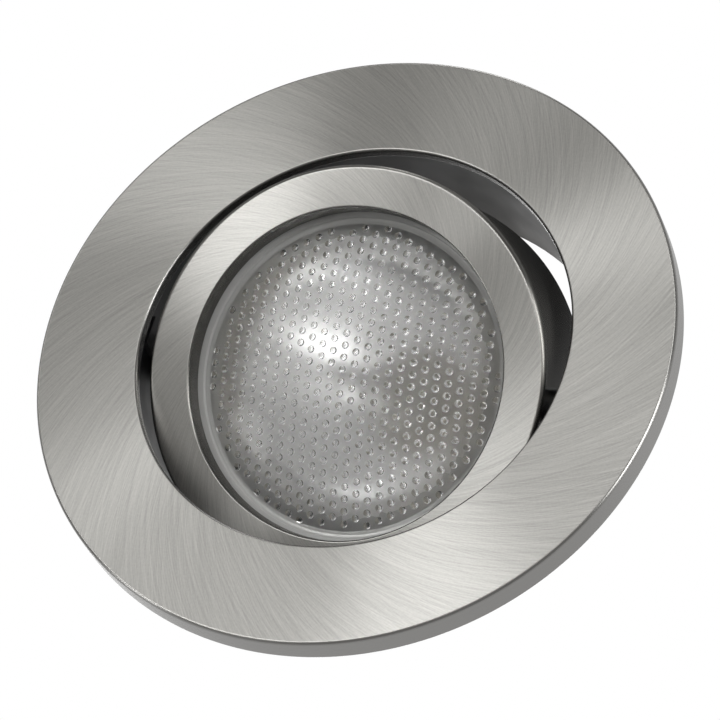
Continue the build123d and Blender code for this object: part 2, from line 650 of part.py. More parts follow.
def self_gap(path):
    """The least gap between the wire's own turns, measured on points along its middle."""
    count = 400
    step = path.length / count
    points = [path.position_at(i / count) for i in range(count + 1)]
    apart = math.ceil(math.pi * COIL_R / step)
    gaps = [
        (points[i] - points[j]).length for i in range(count + 1) for j in range(i + apart, count + 1)
    ]
    return min(gaps) - 2 * WIRE_R


SIDES = {"left": -1, "right": 1}

nodes = {"trim_ring": trim_ring(), "collar": collar(), "trim_screws": trim_screws()}
for name, side in SIDES.items():
    nodes[f"pivot_bush_{name}"] = pivot_bush(side)
for number, angle in enumerate(CLIP_ANGLES, 1):
    for name, make in {
        "clip_bracket": clip_bracket,
        "clip_axle": clip_axle,
        "clip_spring": clip_spring,
        "clip_arm": clip_arm,
        "clip_pad": clip_pad,
    }.items():
        nodes[f"{name}_{number}"] = around(angle) * make()
for name, side in SIDES.items():
    nodes[f"pivot_pin_{name}"] = pivot_pin(side)
    nodes[f"friction_washer_{name}"] = friction_washer(side)
    nodes[f"pin_retainer_{name}"] = pin_retainer(side)
for make in (
    gimbal_ring,
    lamp_seat_ring,
    lamp_circlip,
    lamp_lens,
    lamp_reflector,
    lamp_capsule,
    lamp_filament,
    lamp_base,
    lamp_pins,
    holder_body,
    holder_cover,
    holder_contacts,
    holder_screws,
):
    nodes[make.__name__] = tilted(make())

os.makedirs("parts", exist_ok=True)
for name, shape in nodes.items():
    export_step(shape, f"parts/{name}.step")
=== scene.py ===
"""A tilting recessed spotlight, dressed for the camera.

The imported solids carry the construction. This script gives every solid its finish, models the stippled lamp
glass, the wound springs, the clip sleeves and the filament, and lights the part in a plain studio.
"""

import json
import logging
import math
from collections.abc import Iterable, Sequence
from dataclasses import dataclass
from enum import Enum, IntEnum

import bmesh
import bpy
from mathutils import Matrix, Vector
from mathutils.geometry import delaunay_2d_cdt


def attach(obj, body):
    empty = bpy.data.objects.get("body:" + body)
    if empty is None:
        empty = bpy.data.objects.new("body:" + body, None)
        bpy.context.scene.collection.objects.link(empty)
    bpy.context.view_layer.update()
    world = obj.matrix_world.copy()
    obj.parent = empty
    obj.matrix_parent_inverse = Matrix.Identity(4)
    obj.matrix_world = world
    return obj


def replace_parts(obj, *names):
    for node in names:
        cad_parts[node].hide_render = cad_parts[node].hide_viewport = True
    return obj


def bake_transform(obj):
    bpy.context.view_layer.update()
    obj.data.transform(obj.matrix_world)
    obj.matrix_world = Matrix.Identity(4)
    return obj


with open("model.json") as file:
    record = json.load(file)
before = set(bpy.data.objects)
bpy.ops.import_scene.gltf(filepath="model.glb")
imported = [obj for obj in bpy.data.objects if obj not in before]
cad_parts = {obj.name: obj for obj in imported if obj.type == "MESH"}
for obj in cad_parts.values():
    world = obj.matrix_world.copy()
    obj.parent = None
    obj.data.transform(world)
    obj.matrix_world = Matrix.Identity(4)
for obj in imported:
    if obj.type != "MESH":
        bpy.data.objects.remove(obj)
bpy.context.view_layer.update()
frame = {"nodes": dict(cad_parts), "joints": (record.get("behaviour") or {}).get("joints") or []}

LOG = logging.getLogger("spotlight")
MM = 0.001
SMOOTH_BELOW = math.radians(35)  # edges flatter than this are shaded as one surface
FLAT_BELOW = math.radians(0.6)  # edges flatter than this are taken out before easing
WELD = 0.002 * MM  # points nearer than this are one
CAP_ANGLES = (40, 72)  # where a wire's domed cap has its rings, in degrees from its end
KEEP_INSIDE = 1  # the triangulation's mode that drops what lies outside the outline
SNAP = 1e-5  # the triangulation joins points nearer than this, in millimetres
NOISE_SPAN = {"From Min": 0.3, "From Max": 0.7}  # where the values of a noise lie
PATCH_SPAN = {"From Min": 0.35, "From Max": 0.65}  # a narrower span, which makes clearer patches
JOINTS = {joint["name"]: joint for joint in frame["joints"]}
Node, NodeTree, Object = bpy.types.Node, bpy.types.NodeTree, bpy.types.Object
Faces = list[tuple[int, ...]]
Pairs = tuple[tuple[float, float], ...]


class Slot(Enum):
    """The record's material slots."""

    NICKEL = "brushed_nickel"
    COLLAR = "collar_grey"
    ZINC = "zinc_steel"
    SPRING = "spring_steel"
    NYLON = "black_nylon"
    SLEEVE = "pad_silicone"
    SEAT = "seat_aluminium"
    LENS = "lens_glass"
    MIRROR = "reflector_mirror"
    QUARTZ = "quartz"
    TUNGSTEN = "tungsten"
    CERAMIC = "ceramic"
    CONTACT = "contact_brass"


class Body(Enum):
    """The bodies that pieces ride on."""

    TRIM = "trim"
    GIMBAL = "gimbal"
    HOLDER = "holder"


class Zone(IntEnum):
    """The lens's finishes, in the order of its material slots."""

    CLEAR = 0
    GROUND = 1
    STIPPLE = 2
    ETCHED = 3
    HAZED = 4


def linear(code: str) -> tuple[float, float, float, float]:
    """Turns an sRGB hex colour into linear RGBA.

    Args:
        code: Six hex digits after a hash sign.

    Returns:
        Red, green, blue and an alpha of one.
    """
    channels = [int(code[i : i + 2], 16) / 255 for i in (1, 3, 5)]
    return (*(c / 12.92 if c <= 0.04045 else ((c + 0.055) / 1.055) ** 2.4 for c in channels), 1.0)


def plug(tree: NodeTree, node: Node, sockets: dict) -> None:
    """Sets or links a node's inputs.

    Args:
        tree: The node tree.
        node: The node.
        sockets: Input names or numbers, each with a value, an output, or a node whose first output is used.
    """
    for key, value in sockets.items():
        if isinstance(value, Node):
            value = next(output for output in value.outputs if output.enabled)
        if isinstance(value, bpy.types.NodeSocket):
            tree.links.new(value, node.inputs[key])
        else:
            node.inputs[key].default_value = value


def add(tree: NodeTree, kind: str, sockets: dict | None = None, **settings: object) -> Node:
    """Adds a node with its settings, values and links.

    Args:
        tree: The node tree that gets the node.
        kind: The node's type, without the start that all shader nodes share.
        sockets: What goes into its inputs, as plug takes it.
        **settings: Properties of the node itself.

    Returns:
        The new node.
    """
    made = tree.nodes.new(f"ShaderNode{kind}")
    for name, value in settings.items():
        setattr(made, name, value)
    plug(tree, made, sockets or {})
    return made


@dataclass(frozen=True)
class Seat:
    """Where a sub-assembly's own frame lies in the part's frame.

    Attributes:
        origin: The frame's origin in metres.
        lean: The turn about X in radians.
    """

    origin: tuple[float, float, float] = (0.0, 0.0, 0.0)
    lean: float = 0.0

    def matrix(self) -> Matrix:
        """Gives the frame's place as a matrix."""
        return Matrix.Translation(self.origin) @ Matrix.Rotation(self.lean, 4, "X")

    def inside(self, tree: NodeTree) -> tuple[Node, Node, Node]:
        """Adds the nodes that read a point in this frame.

        Args:
            tree: The material's node tree.

        Returns:
            The part's own coordinates, the point in this frame, and that point without its height.
        """
        place = add(tree, "TexCoord")
        here = {0: place.outputs["Object"], "Location": self.origin, "Rotation": (self.lean, 0, 0)}
        local = add(tree, "Mapping", here, vector_type="TEXTURE")
        flat = add(tree, "VectorMath", {0: local, 1: (1, 1, 0)}, operation="MULTIPLY")
        return place, local, flat


LAMP_AXIS = JOINTS["holder_twist"]["axis"]
CEILING = Seat()
TILTED = Seat(tuple(JOINTS["gimbal_tilt"]["pos_m"]), math.atan2(-LAMP_AXIS[1], LAMP_AXIS[2]))


@dataclass(frozen=True)
class Finish:
    """A plain finish, and the base of the patterned ones.

    Attributes:
        name: What the surface is and how it was made.
        slot: The record's slot, or none for the studio's own; not used.
        base: Its colour as sRGB hex.
        roughness: How wide its highlights spread.
        metallic: One for a metal.
    """

    name: str
    slot: Slot | None
    base: str
    roughness: float
    metallic: float = 0.0

    def material(self) -> bpy.types.Material:
        """Makes the material, or gives the one already made.

        Returns:
            The material.
        """
        found = bpy.data.materials.get(self.name)
        if found is not None:
            return found
        made = bpy.data.materials.new(self.name)
        made.use_nodes = True
        tree = made.node_tree
        shader = next(n for n in tree.nodes if n.type == "BSDF_PRINCIPLED")
        plain = {"Base Color": linear(self.base), "Roughness": self.roughness, "Metallic": self.metallic}
        plug(tree, shader, plain)
        self.dress(tree, shader)
        return made

    def dress(self, tree: NodeTree, shader: Node) -> None:
        """Adds the finish's own pattern to a plain shader.

        Args:
            tree: The material's node tree.
            shader: Its principled shader.
        """


@dataclass(frozen=True)
class SpiralBrushed(Finish):
    """Satin nickel plate over a disc-brushed casting.

    The brush leaves fine strokes that spiral out at a steady slant. They stretch each highlight across
    themselves, so the face shows broad bright and dark fans that turn with the ring. Turned walls have their
    fine lines round the axis instead.

    Attributes:
        seat: The turned piece's frame.
        slant: The strokes' angle from the radius, in degrees.
        stroke: The width of a stroke in millimetres, drawn a little coarse so that it shows.
        stroke_length: The length of a stroke in millimetres.
        mean_radius: The radius where the width holds, in millimetres.
        stretch: How far the highlight is drawn out across the strokes, from 0 to 1.
        grit: The size of the fine specks between the strokes, in millimetres.
        wall: The colour of the turned walls, darker than the face as painted shade.
        wall_roughness: Their roughness.
        worn: The colour of the brighter strokes.
        passes: Each pass of the brush: its turn from the slant in degrees, and how much finer it is.
        pass_gap: How far apart the passes lie in the noise, so that they differ.
        shares: How much of the second pass, of the third one and of the grit is mixed in.
        contrast: The span of that mix in which the base colour turns into the worn one.
        gloss_swing: How far the roughness swings each way from stroke to stroke.
        face_from: How squarely a surface faces along the axis where walls end and where faces begin.
    """

    seat: Seat = CEILING
    slant: float = -41.0
    stroke: float = 0.17
    stroke_length: float = 13.0
    mean_radius: float = 36.0
    stretch: float = 0.95
    grit: float = 0.3
    wall: str = "#838280"
    wall_roughness: float = 0.26
    worn: str = "#B8B7B3"
    passes: Pairs = ((0.0, 1.0), (8.0, 1.7), (-9.0, 0.6))
    pass_gap: float = 17.0
    shares: tuple[float, float, float] = (0.3, 0.45, 0.15)
    contrast: tuple[float, float] = (0.34, 0.66)
    gloss_swing: float = 0.015
    face_from: tuple[float, float] = (0.9, 0.985)

    def grain(self, tree: NodeTree, place: Node, local: Node, flat: Node, face: Node) -> Node:
        """Adds the brush's passes, with the spiral unwound so that strokes run along the radius of a noise.

        Args:
            tree: The material's node tree.
            place: The part's own coordinates.
            local: The point in the piece's frame.
            flat: That point without its height.
            face: One on a brushed face and zero on a turned wall.

        Returns:
            The passes and the grit, mixed.
        """
        radius = add(tree, "VectorMath", {0: flat}, operation="LENGTH")
        height = add(tree, "SeparateXYZ", {0: local}).outputs["Z"]
        log_radius = add(tree, "Math", {0: radius, 1: math.e}, operation="LOGARITHM")
        slow = self.mean_radius / self.stroke_length
        length = self.stroke_length * MM
        layers = []
        for step, (turn, finer) in enumerate(self.passes):
            rate = -math.tan(math.radians(self.slant) + math.radians(turn))
            unwind = add(tree, "Math", {0: log_radius, 1: rate}, operation="MULTIPLY")
            spun = add(tree, "VectorRotate", {0: flat, "Angle": unwind}, rotation_type="Z_AXIS")
            round_way = add(tree, "VectorMath", {0: spun}, operation="NORMALIZE")
            pace = add(tree, "Mix", {0: face, 2: slow, 3: finer * self.mean_radius / self.stroke})
            wide = add(tree, "VectorMath", {0: round_way, "Scale": pace}, operation="SCALE")
            along = add(tree, "Math", {0: radius, 1: finer / length}, operation="MULTIPLY")
            depth = add(tree, "Math", {0: height, 1: 1 / (self.stroke * MM)}, operation="MULTIPLY")
            third = add(tree, "Mix", {0: face, 2: depth, 3: along})
            lift = add(tree, "CombineXYZ", {0: self.pass_gap * step, 2: third})
            spot = add(tree, "VectorMath", {0: wide, 1: lift}, operation="ADD")
            layers.append(add(tree, "TexNoise", {"Vector": spot, "Scale": 1.0, "Detail": 1.0}))
        grit = {"Vector": place.outputs["Object"], "Scale": 1 / (self.grit * MM), "Detail": 1.0}
        layers.append(add(tree, "TexNoise", grit))
        grain = layers[0]
        for share, layer in zip(self.shares, layers[1:]):
            grain = add(tree, "Mix", {0: share, 2: grain, 3: layer})
        return grain

    def dress(self, tree: NodeTree, shader: Node) -> None:
        """Adds the spiral strokes, the turned walls and the stretched highlight."""
        place, local, flat = self.seat.inside(tree)
        normal = place.outputs["Normal"]
        facing = {0: normal, 1: self.seat.matrix().col[2].xyz}
        facing = add(tree, "VectorMath", facing, operation="DOT_PRODUCT")
        facing = add(tree, "Math", {0: facing}, operation="ABSOLUTE")
        wall_end, face_start = self.face_from
        face = add(tree, "MapRange", {"Value": facing, "From Min": wall_end, "From Max": face_start})

        # Colour and gloss vary from stroke to stroke, and the turned walls get their darker colour, which is
        # painted shade
        grain = self.grain(tree, place, local, flat, face)
        low, high = self.contrast
        share = add(tree, "MapRange", {"Value": grain, "From Min": low, "From Max": high})
        brushed = {0: share, 6: linear(self.base), 7: linear(self.worn)}
        brushed = add(tree, "Mix", brushed, data_type="RGBA")
        colour = add(tree, "Mix", {0: face, 6: linear(self.wall), 7: brushed}, data_type="RGBA")
        swing = {"To Min": self.roughness + self.gloss_swing, "To Max": self.roughness - self.gloss_swing}
        gloss = add(tree, "MapRange", {"Value": grain, **NOISE_SPAN, **swing})
        gloss = add(tree, "Mix", {0: face, 2: self.wall_roughness, 3: gloss})

        # The highlight is drawn out across the strokes
        turned = add(tree, "VectorMath", {0: (0, 0, 1), 1: flat}, operation="CROSS_PRODUCT")
        turned = add(tree, "VectorMath", {0: turned}, operation="NORMALIZE")
        slant = {0: turned, "Angle": math.radians(self.slant)}
        across = add(tree, "VectorRotate", slant, rotation_type="Z_AXIS")
        across, turned = (
            add(tree, "VectorRotate", {0: way, "Angle": self.seat.lean}, rotation_type="X_AXIS")
            for way in (across, turned)
        )
        over = add(tree, "VectorMath", {0: normal, 1: turned}, operation="CROSS_PRODUCT")
        way = add(tree, "Mix", {0: face, 4: over, 5: across}, data_type="VECTOR")
        spaces = {"vector_type": "VECTOR", "convert_from": "OBJECT", "convert_to": "WORLD"}
        way = add(tree, "VectorTransform", {0: way}, **spaces)
        stretched = {"Tangent": way, "Anisotropic": self.stretch}
        plug(tree, shader, {"Base Color": colour, "Roughness": gloss, **stretched})


@dataclass(frozen=True)
class Mottled(Finish):
    """A finish whose colour and gloss drift, with a fine bump.

    Attributes:
        second: The other colour as sRGB hex.
        patch: The size of the drift in millimetres.
        grit: The size of the bump's grain in millimetres.
        bump: The depth of the bump in millimetres.
        bump_strength: How much of that depth shows.
        gloss_drift: How far the roughness drifts each way.
    """

    second: str = "#FFFFFF"
    patch: float = 4.0
    grit: float = 0.25
    bump: float = 0.01
    bump_strength: float = 0.5
    gloss_drift: float = 0.06

    def dress(self, tree: NodeTree, shader: Node) -> None:
        """Adds the drift and the grain."""
        place = add(tree, "TexCoord").outputs["Object"]
        drift = add(tree, "TexNoise", {"Vector": place, "Scale": 1 / (self.patch * MM), "Detail": 3.0})
        share = add(tree, "MapRange", {"Value": drift, **PATCH_SPAN})
        colours = {0: share, 6: linear(self.base), 7: linear(self.second)}
        swing = {"To Min": self.roughness - self.gloss_drift, "To Max": self.roughness + self.gloss_drift}
        grain = add(tree, "TexNoise", {"Vector": place, "Scale": 1 / (self.grit * MM), "Detail": 2.0})
        lift = {"Height": grain, "Strength": self.bump_strength, "Distance": self.bump * MM}
        drifting = {
            "Base Color": add(tree, "Mix", colours, data_type="RGBA"),
            "Roughness": add(tree, "MapRange", {"Value": drift, **NOISE_SPAN, **swing}),
            "Normal": add(tree, "Bump", lift),
        }
        plug(tree, shader, drifting)


@dataclass(frozen=True)
class PlatedBowl(Mottled):
    """Pressed glass plated within: a soft mirror inside and satin grey glass outside.

    Attributes:
        seat: The bowl's frame.
        outside: The colour of its outside.
        outside_roughness: The outside's roughness.
        turn: How far from edge-on the one gives way to the other.
    """

    seat: Seat = TILTED
    outside: str = "#9C9D9F"
    outside_roughness: float = 0.3
    turn: float = 0.05

    def dress(self, tree: NodeTree, shader: Node) -> None:
        """Tells the outside from the inside by the way that the surface faces."""
        super().dress(tree, shader)
        place, _, flat = self.seat.inside(tree)
        flat = add(tree, "VectorMath", {0: flat}, operation="NORMALIZE")
        back = add(tree, "VectorMath", {0: flat, 1: (0, 0, 1)}, operation="ADD")
        back = add(tree, "VectorRotate", {0: back, "Angle": self.seat.lean}, rotation_type="X_AXIS")
        facing = {0: place.outputs["Normal"], 1: back}
        facing = add(tree, "VectorMath", facing, operation="DOT_PRODUCT")
        share = add(tree, "MapRange", {"Value": facing, "From Min": -self.turn, "From Max": self.turn})
        colour, gloss = (shader.inputs[key].links[0].from_socket for key in ("Base Color", "Roughness"))
        colour = add(tree, "Mix", {0: share, 6: colour, 7: linear(self.outside)}, data_type="RGBA")
        gloss = add(tree, "Mix", {0: share, 2: gloss, 3: self.outside_roughness})
        plug(tree, shader, {"Base Color": colour, "Roughness": gloss})


@dataclass(frozen=True)
class Clear(Finish):
    """A clear pressed or drawn glass, which shows what lies behind it.

    Attributes:
        ior: Its index of refraction.
        bloom: The tint of its surface reflections, darker under a bloomed coat.
        through: The share of the light that it lets through, less where it is ground milky.
        cover: How much of it shows, less for a thin drawn wall that light passes straight.
    """

    ior: float = 1.47
    bloom: str = "#808080"
    through: float = 1.0
    cover: float = 1.0

    def dress(self, tree: NodeTree, shader: Node) -> None:
        """Makes the glass let light through."""
        surface = {"IOR": self.ior, "Specular Tint": linear(self.bloom)}
        plug(tree, shader, {"Transmission Weight": self.through, "Alpha": self.cover, **surface})


@dataclass(frozen=True)
class Speckled(Finish):
    """Fired ceramic: a chalky body with tiny darker specks.

    Attributes:
        speck: The specks' colour.
        spacing: The distance between specks in millimetres.
        speck_share: How far a speck reaches, as a share of the spacing.
        core: The share of that reach with the speck's full colour.
        skin: The size of the fired skin's grain in millimetres.
        skin_depth: Its depth in millimetres.
        skin_strength: How much of that depth shows.
    """

    speck: str = "#B9AE9A"
    spacing: float = 1.1
    speck_share: float = 0.16
    core: float = 0.4
    skin: float = 0.4
    skin_depth: float = 0.02
    skin_strength: float = 0.4

    def dress(self, tree: NodeTree, shader: Node) -> None:
        """Adds the specks and the fired skin."""
        place = add(tree, "TexCoord").outputs["Object"]
        cells = add(tree, "TexVoronoi", {"Vector": place, "Scale": 1 / (self.spacing * MM)})
        reach = {"From Min": self.speck_share, "From Max": self.core * self.speck_share}
        share = add(tree, "MapRange", {"Value": cells.outputs["Distance"], **reach})
        colours = {0: share, 6: linear(self.base), 7: linear(self.speck)}
        colour = add(tree, "Mix", colours, data_type="RGBA")
        skin = add(tree, "TexNoise", {"Vector": place, "Scale": 1 / (self.skin * MM), "Detail": 4.0})
        lift = {"Height": skin, "Strength": self.skin_strength, "Distance": self.skin_depth * MM}
        plug(tree, shader, {"Base Color": colour, "Normal": add(tree, "Bump", lift)})


# Brushed satin nickel: soft grey fans over fine slanted strokes, with the turned walls painted darker as
# painted shade
TRIM_NICKEL = SpiralBrushed("brushed_nickel_trim", Slot.NICKEL, "#9E9D9A", 0.3, 1.0)
# The same on the tilting ring, with its walls darker still: painted shade in the bore and on the skirt
GIMBAL_NICKEL = SpiralBrushed(
    "brushed_nickel_gimbal", Slot.NICKEL, "#9E9D9A", 0.3, 1.0, seat=TILTED, slant=-45.0, mean_radius=26.0,
    wall="#646360",
)
# Satin grey paint on rolled steel with a soft sheen, its colour darkened to a near black wall as painted
# shade inside the collar
COLLAR_PAINT_AND_SHADE = Mottled(
    "satin_grey_steel_and_painted_shade", Slot.COLLAR, "#262628", 0.52, second="#2C2C2E", patch=6.0, grit=0.35,
    bump=0.006,
)
# Bright zinc plate: pale steel with a faint blue and straw bloom
ZINC_PLATE = Mottled(
    "bright_zinc_plate", Slot.ZINC, "#BDC0C5", 0.32, 1.0, second="#C1BFB9", patch=3.0, grit=0.2, bump=0.003,
    gloss_drift=0.015,
)
# Oil-tempered spring steel: blue-grey drawn wire and strip
SPRING_STEEL = Mottled(
    "tempered_spring_steel", Slot.SPRING, "#8C8E93", 0.3, 1.0, second="#83827E", patch=2.0, grit=0.12,
    bump=0.003, gloss_drift=0.02,
)
# Moulded nylon: black with a fine dull grain
NYLON = Mottled("moulded_black_nylon", Slot.NYLON, "#17171A", 0.5, second="#1E1E20", patch=2.5, grit=0.15)
# Moulded silicone rubber: milky grey, with a dry soft sheen
SILICONE = Mottled(
    "moulded_grey_silicone", Slot.SLEEVE, "#B7B5AE", 0.55, second="#C2C0B9", patch=2.0, grit=0.18
)
# Turned aluminium: pale, with a satin sheen
ALUMINIUM = Mottled(
    "turned_aluminium", Slot.SEAT, "#C8CACC", 0.3, 1.0, second="#BFC1C4", patch=2.0, grit=0.2, bump=0.004
)
# Pressed soda-lime glass: clear, with reflections dimmed by a bloomed coat
LENS_GLASS = Clear("pressed_lens_glass", Slot.LENS, "#FEFEFE", 0.0)
# The ground rim: the same glass, milky
GROUND_GLASS = Clear("ground_lens_glass", Slot.LENS, "#C4C4C2", 0.3, through=0.5)
# The stipples: fire-polished, with a slight ripple that softens what they bend
STIPPLE_GLASS = Clear("stippled_lens_glass", Slot.LENS, "#FEFEFE", 0.26)
# The land between the stipples: lightly etched, so what lies behind it blurs
ETCHED_GLASS = Clear("etched_lens_glass", Slot.LENS, "#FEFEFE", 0.34)
# The outermost band of the inner face, where the mould leaves it milky: a pale haze under the last stipples
HAZED_GLASS = Clear("hazed_lens_glass", Slot.LENS, "#C4C4C2", 0.34, through=0.6)
# Vacuum-plated aluminium in pressed glass: a soft mirror with slow ripples, grey from behind
MIRROR = PlatedBowl(
    "plated_reflector", Slot.MIRROR, "#F5F5F5", 0.13, 1.0, second="#EEEEED", patch=9.0, grit=5.0, bump=0.02,
    gloss_drift=0.03,
)
# Fused quartz: clear and bright at its edges
QUARTZ = Clear("fused_quartz", Slot.QUARTZ, "#FEFEFE", 0.02, ior=1.46, bloom="#FFFFFF", cover=0.3)
# Drawn tungsten: a dull grey wire
TUNGSTEN = Mottled(
    "drawn_tungsten", Slot.TUNGSTEN, "#B9B6B0", 0.36, 1.0, second="#ACA9A3", patch=1.0, grit=0.1
)
# Steatite: off-white fired ceramic with tiny specks
STEATITE = Speckled("fired_steatite", Slot.CERAMIC, "#E7E2D6", 0.48)
# Capsule cement: a warm grey paste, dry and matt
CEMENT = Mottled(
    "capsule_cement", Slot.CERAMIC, "#D0CCC4", 0.75, second="#C6C0B4", patch=1.2, grit=0.3, bump=0.04
)
# Natural steatite: the same ceramic in its warm tan
TAN_STEATITE = Speckled("fired_tan_steatite", Slot.CERAMIC, "#CDBFAA", 0.5, speck="#8F8270")
# Brass: warm yellow contacts with a rubbed sheen
BRASS = Mottled(
    "drawn_brass", Slot.CONTACT, "#D3B878", 0.28, 1.0, second="#C4A868", patch=1.5, grit=0.15, bump=0.004
)
# The studio's floor: matt white paint
FLOOR_PAINT = Finish("matt_floor_paint", None, "#EDECEA", 0.9)


def hang(name: str, data: bpy.types.ID) -> Object:
    """Puts an object in the scene.

    Args:
        name: The object's name.
        data: Its mesh, light or camera.

    Returns:
        The new object.
    """
    made = bpy.data.objects.new(name, data)
    bpy.context.scene.collection.objects.link(made)
    return made


def show(
    name: str,
    points: Sequence[Sequence[float]],
    faces: Iterable[Sequence[int]],
    finish: Finish,
    place: Matrix,
    zones: Sequence[int] = (),
) -> Object:
    """Makes a smooth object from points in millimetres.

    Args:
        name: The piece's name.
        points: Its vertices in its own frame.
        faces: Its faces as vertex numbers.
        finish: Its finish.
        place: Where its frame lies, in metres.
        zones: The number of each face's finish, where it has more than one.

    Returns:
        The new object.
    """
    mesh = bpy.data.meshes.new(name)
    mesh.from_pydata([tuple(c * MM for c in p) for p in points], [], [tuple(f) for f in faces])
    if zones:
        mesh.polygons.foreach_set("material_index", zones)
    return settle(name, mesh, finish, place)


def settle(name: str, mesh: bpy.types.Mesh, finish: Finish, place: Matrix) -> Object:
    """Cleans a mesh, shades it and puts it in the scene.

    Args:
        name: The piece's name.
        mesh: Its mesh, in metres.
        finish: Its finish.
        place: Where its frame lies.

    Returns:
        The new object.
    """
    work = bmesh.new()
    work.from_mesh(mesh)
    bmesh.ops.remove_doubles(work, verts=work.verts, dist=WELD)
    bmesh.ops.recalc_face_normals(work, faces=work.faces)
    work.to_mesh(mesh)
    work.free()
    mesh.shade_smooth()
    mesh.set_sharp_from_angle(angle=SMOOTH_BELOW)
    mesh.materials.append(finish.material())
    made = hang(name, mesh)
    made.matrix_world = place
    LOG.info("made %s with %d faces", name, len(mesh.polygons))
    return made


def dress(node: str, finish: Finish) -> None:
    """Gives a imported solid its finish.

    Args:
        node: The solid's node.
        finish: Its finish.
    """
    solid = frame["nodes"][node]
    solid.data.materials.clear()
    solid.data.materials.append(finish.material())
    LOG.info("dressed %s in %s", node, finish.name)


def ease(node: str, finish: Finish, edge: float, body: str) -> Object:
    """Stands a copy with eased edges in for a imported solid.

    Args:
        node: The solid's node.
        finish: Its finish.
        edge: The width of the eased edges in millimetres.
        body: The body that it rides on.

    Returns:
        The copy.
    """
    mesh = bpy.data.meshes.new(f"{node}_eased")
    work = bmesh.new()
    work.from_mesh(frame["nodes"][node].data)
    bmesh.ops.remove_doubles(work, verts=work.verts, dist=WELD)
    bmesh.ops.dissolve_limit(work, angle_limit=FLAT_BELOW, verts=work.verts, edges=work.edges)
    sharp = [e for e in work.edges if e.is_manifold and e.calc_face_angle() > SMOOTH_BELOW]
    eased = {"offset": edge * MM, "segments": 2, "profile": 0.5, "clamp_overlap": True}
    bmesh.ops.bevel(work, geom=sharp, affect="EDGES", **eased)
    work.to_mesh(mesh)
    work.free()
    made = settle(f"{node}_eased", mesh, finish, Matrix.Identity(4))
    even_out(made)
    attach(made, body)
    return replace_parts(made, node)


def extent(node: str, place: Matrix) -> tuple[Vector, Vector]:
    """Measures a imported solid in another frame.

    Args:
        node: The solid's node.
        place: Where that frame lies.

    Returns:
        The lowest and highest corners in that frame, in millimetres.
    """
    inside = place.inverted()
    points = [inside @ v.co / MM for v in frame["nodes"][node].data.vertices]
    return tuple(Vector(pick(p[i] for p in points) for i in range(3)) for pick in (min, max))


def circle(count: int) -> list[tuple[float, float]]:
    """Gives points at even steps round a circle with a radius of one."""
    angles = [math.tau * k / count for k in range(count)]
    return [(math.cos(angle), math.sin(angle)) for angle in angles]


def bridge(rings: int, count: int, loop: bool = False, caps: bool = False) -> Faces:
    """Joins neighbouring rings of points with faces.

    Args:
        rings: The number of rings.
        count: The number of points in each.
        loop: Whether the last ring joins the first one.
        caps: Whether the first and last rings are closed.

    Returns:
        The faces.
    """
    faces = []
    for ring in range(rings if loop else rings - 1):
        shift = (ring + 1) % rings * count - ring * count
        for k in range(count):
            a, b = ring * count + k, ring * count + (k + 1) % count
            faces.append((a, b, b + shift, a + shift))
    if caps:
        faces += [tuple(reversed(range(count))), tuple(range((rings - 1) * count, rings * count))]
    return faces


def lathe(outline: Sequence[Sequence[float]], steps: int) -> tuple[list[Vector], Faces]:
    """Turns a closed outline round the Z axis.

    Args:
        outline: Pairs of radius and height.
        steps: The number of steps round the axis.

    Returns:
        The points and the faces.
    """
    points = [Vector((r * x, r * y, z)) for x, y in circle(steps) for r, z in outline]
    return points, bridge(steps, len(outline), loop=True)


def rounded(corners: Sequence[Sequence[float]], steps: int = 6) -> list[tuple[float, float]]:
    """Rounds the corners of a closed outline.

    Args:
        corners: Each corner's radius, height and rounding.
        steps: The number of steps in each rounding.

    Returns:
        Pairs of radius and height.
    """
    outline = []
    for i, (r, z, size) in enumerate(corners):
        here = Vector((r, z))
        back = (Vector(corners[i - 1][:2]) - here).normalized()
        ahead = (Vector(corners[(i + 1) % len(corners)][:2]) - here).normalized()
        reach = size / math.tan(back.angle(ahead) / 2)
        middle = here + (back + ahead).normalized() * size / math.sin(back.angle(ahead) / 2)
        start, end = here + back * reach - middle, here + ahead * reach - middle
        for k in range(steps + 1):
            spot = start.slerp(end, k / steps) * size + middle
            outline.append((spot.x, spot.y))
    return outline


def even_out(piece: Object) -> None:
    """Keeps flat faces flat-shaded beside their rounded edges.

    Args:
        piece: The piece.
    """
    even = piece.modifiers.new("even_shading", "WEIGHTED_NORMAL")
    even.keep_sharp = True


def tube(path: Sequence[Vector], radius: float, sides: int) -> tuple[list[Vector], Faces]:
    """Sweeps a round wire along a path.

    Args:
        path: The middle of the wire.
        radius: The wire's radius.
        sides: The number of sides.

    Returns:
        The points and the faces, with a domed cap at each end.
    """
    ways = [(b - a).normalized() for a, b in zip(path, path[1:])]
    ways = [ways[0], *((a + b).normalized() for a, b in zip(ways, ways[1:])), ways[-1]]
    side = ways[0].orthogonal().normalized()
    rings = []
    for place, way in zip(path, ways):
        side = (side - way * side.dot(way)).normalized()
        rings.append((place, side, way.cross(side), radius))
    first, last = rings[0], rings[-1]
    for angle in map(math.radians, CAP_ANGLES):
        shrink, reach = math.cos(angle), math.sin(angle)
        rings.insert(0, (first[0] - ways[0] * radius * reach, first[1], first[2], radius * shrink))
        rings.append((last[0] + ways[-1] * radius * reach, last[1], last[2], radius * shrink))
    points = [middle + (u * x + v * y) * size for middle, u, v, size in rings for x, y in circle(sides)]
    return points, bridge(len(rings), sides, caps=True)


